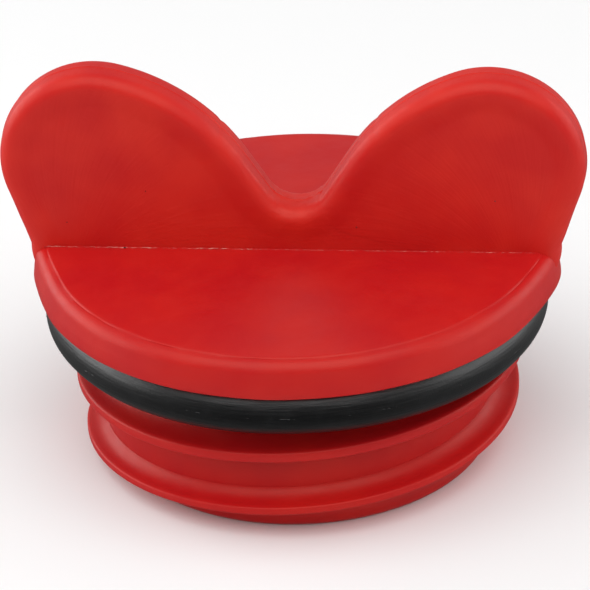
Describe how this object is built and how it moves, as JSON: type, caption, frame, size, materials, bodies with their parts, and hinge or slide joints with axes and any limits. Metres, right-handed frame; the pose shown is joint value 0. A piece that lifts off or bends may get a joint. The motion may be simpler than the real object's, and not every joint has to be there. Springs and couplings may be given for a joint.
{
  "type": "screw plug",
  "caption": "Wing-grip screw plug with a hollow coarse-threaded neck and a captive rubber sealing ring, for a water-filled barrier's port.",
  "frame": {"origin": "centre of the foot of the neck, which is the bottom centre of the bounding box", "axes": "+Z along the thread's axis from the foot to the wings, +X along the span of the wings, the thread's crest 4.5 mm above the foot at -Y"},
  "size_m": [0.0722, 0.064, 0.0504],
  "materials": {
    "red_body": "satin moulded polyethylene, orange red",
    "red_grip": "satin moulded polyethylene, orange red",
    "ring_rubber": "black rubber with a soft sheen"
  },
  "bodies": {
    "seal": {"sealing_ring": "ring_rubber"},
    "plug": {"plug_body": "red_body", "wing_grip": "red_grip"}
  },
  "joints": [
    {"name": "plug_turn", "type": "hinge", "parent": "seal", "child": "plug", "pos_m": [0, 0, 0.0197], "axis": [0, 0, 1], "continuous": true}
  ]
}
